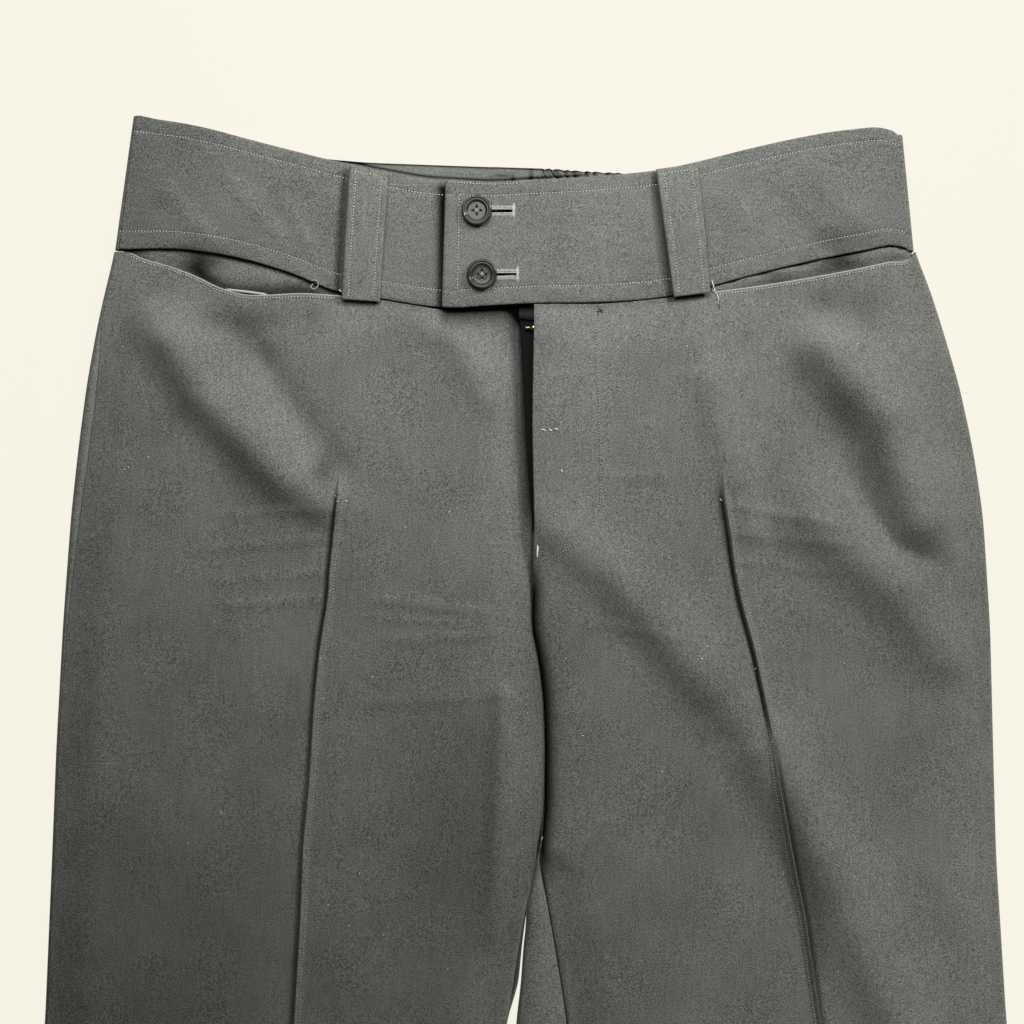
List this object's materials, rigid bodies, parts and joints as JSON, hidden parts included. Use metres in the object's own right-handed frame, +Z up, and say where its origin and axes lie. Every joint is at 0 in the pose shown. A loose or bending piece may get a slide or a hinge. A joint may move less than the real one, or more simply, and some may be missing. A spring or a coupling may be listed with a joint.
{
  "type": "trousers",
  "caption": "Charcoal twill trousers laid flat on their back, with a wide two-button waistband, front belt loops, waist-seam pockets and stitched tuck creases",
  "frame": {"origin": "bottom centre of the bounding box, on the surface that the trousers lie on", "axes": "+X to the viewer's right (the wearer's left), +Y towards the waist, +Z up from the surface"},
  "size_m": [0.634, 1.123, 0.0136],
  "materials": {
    "charcoal_cloth": "matte",
    "zip_tape": "matte",
    "brass": "satin",
    "button": "gloss"
  },
  "bodies": {
    "trousers": {"front_right": "charcoal_cloth", "front_left": "charcoal_cloth", "back_right": "charcoal_cloth", "back_left": "charcoal_cloth", "waistband_front_right": "charcoal_cloth", "waistband_front_left": "charcoal_cloth", "waistband_back": "charcoal_cloth", "belt_loop_right": "charcoal_cloth", "belt_loop_left": "charcoal_cloth", "pocket_facing_right": "charcoal_cloth", "pocket_facing_left": "charcoal_cloth", "zip_tape": "zip_tape", "zip_slider": "brass", "button_upper": "button", "button_lower": "button"},
    "zip_pull": {"zip_pull": "brass"}
  },
  "joints": [
    {"name": "zip_pull_hinge", "type": "hinge", "parent": "trousers", "child": "zip_pull", "pos_m": [-0.02, 0.4575, 0.006], "axis": [0, 1, 0], "range_deg": [0, 8]}
  ]
}
